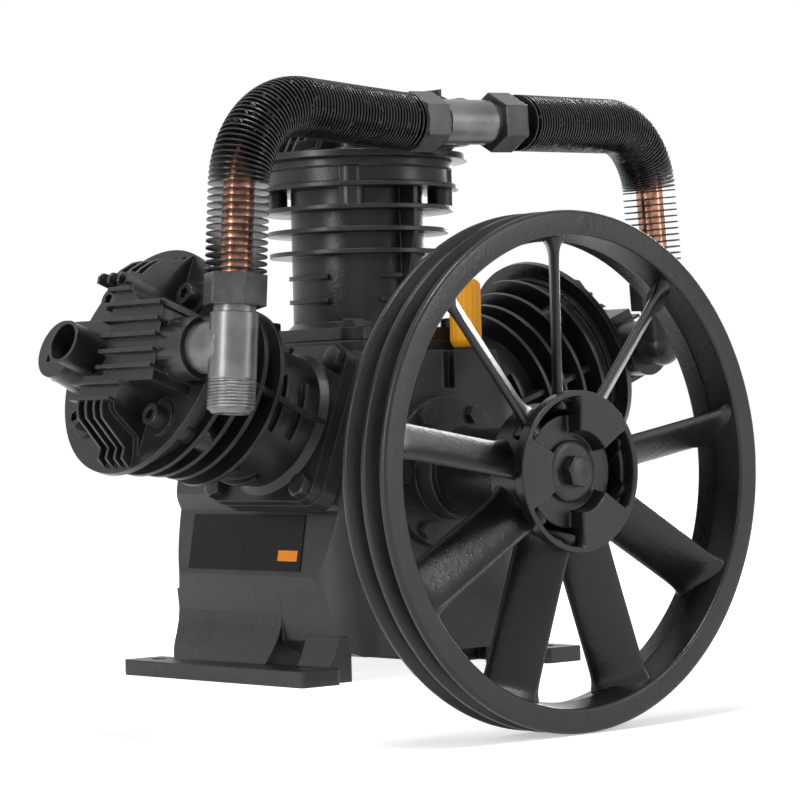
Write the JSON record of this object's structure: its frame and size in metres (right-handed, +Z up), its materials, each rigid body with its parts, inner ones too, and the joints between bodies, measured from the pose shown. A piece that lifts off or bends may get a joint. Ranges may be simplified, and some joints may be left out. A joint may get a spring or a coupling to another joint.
{
  "type": "air compressor pump head",
  "caption": "Belt-driven W-type piston air pump with finned cylinders, ribbed heads, fan-bladed two-groove flywheel and finned copper cooling pipes.",
  "frame": {"origin": "centre of the rectangle of the four foot bolt holes, on the underside of the feet", "axes": "+Z up; -Y towards the flywheel, along the crankshaft; +X to the right seen from the flywheel"},
  "size_m": [0.5843, 0.3732, 0.492],
  "materials": {
    "case_black": "satin black over cast iron, a little rough",
    "barrel_black": "satin black over cast iron",
    "head_black": "semi-gloss black over a smooth casting",
    "wheel_black": "gloss black with a fine cast grain",
    "black_bolts": "blackened",
    "steel": "ground or turned",
    "zinc_fitting": "zinc-plated, turned",
    "elbow_black": "satin black",
    "copper": "bare copper tube, dulled",
    "fin_black": "black-coated sheet",
    "piston_aluminium": "machined",
    "ring_iron": "ground",
    "gasket": "fibre gasket",
    "seal_rubber": "oil-resistant rubber",
    "cap_orange": "moulded, ribbed round the side",
    "label": "blank black plate with an orange band",
    "sight_glass": "clear window",
    "brass": "turned"
  },
  "bodies": {
    "pump": {"crankcase": "case_black", "rear_cover": "case_black", "rear_cover_gasket": "gasket", "rear_cover_bolts": "black_bolts", "front_cover": "case_black", "front_cover_gasket": "gasket", "front_cover_bolts": "black_bolts", "front_bearing": "steel", "rear_bearing": "steel", "shaft_seal": "seal_rubber", "sight_glass": "sight_glass", "drain_plug": "brass", "cap_seal": "seal_rubber", "label_plate": "label", "crank_throw": "steel", "cylinder_left": "barrel_black", "cylinder_middle": "barrel_black", "cylinder_right": "barrel_black", "seat_gaskets": "gasket", "cylinder_bolts": "black_bolts", "valve_plates": "steel", "valve_reeds": "steel", "head_gaskets": "gasket", "head_left": "head_black", "head_middle": "head_black", "head_right": "head_black", "head_bolts": "black_bolts", "piston_left": "piston_aluminium", "piston_middle": "piston_aluminium", "piston_right": "piston_aluminium", "piston_rings": "ring_iron", "wrist_pins": "steel", "rod_left": "piston_aluminium", "rod_middle": "piston_aluminium", "rod_right": "piston_aluminium", "left_tee": "zinc_fitting", "top_tee": "zinc_fitting", "right_elbow": "elbow_black", "union_nuts": "zinc_fitting", "pipe_left": "copper", "pipe_right": "copper", "pipe_fins_left": "fin_black", "pipe_fins_right": "fin_black"},
    "crank": {"crankshaft": "steel", "flywheel": "wheel_black", "flywheel_key": "steel", "flywheel_washer": "steel", "flywheel_bolt": "black_bolts"},
    "filler_cap": {"oil_cap": "cap_orange"}
  },
  "joints": [
    {"name": "flywheel_spin", "type": "hinge", "parent": "pump", "child": "crank", "pos_m": [0, -0.1, 0.1536], "axis": [0, 1, 0], "continuous": true},
    {"name": "oil_cap_lift", "type": "slide", "parent": "pump", "child": "filler_cap", "axis": [0, 0, 1], "range_m": [0, 0.045]}
  ]
}
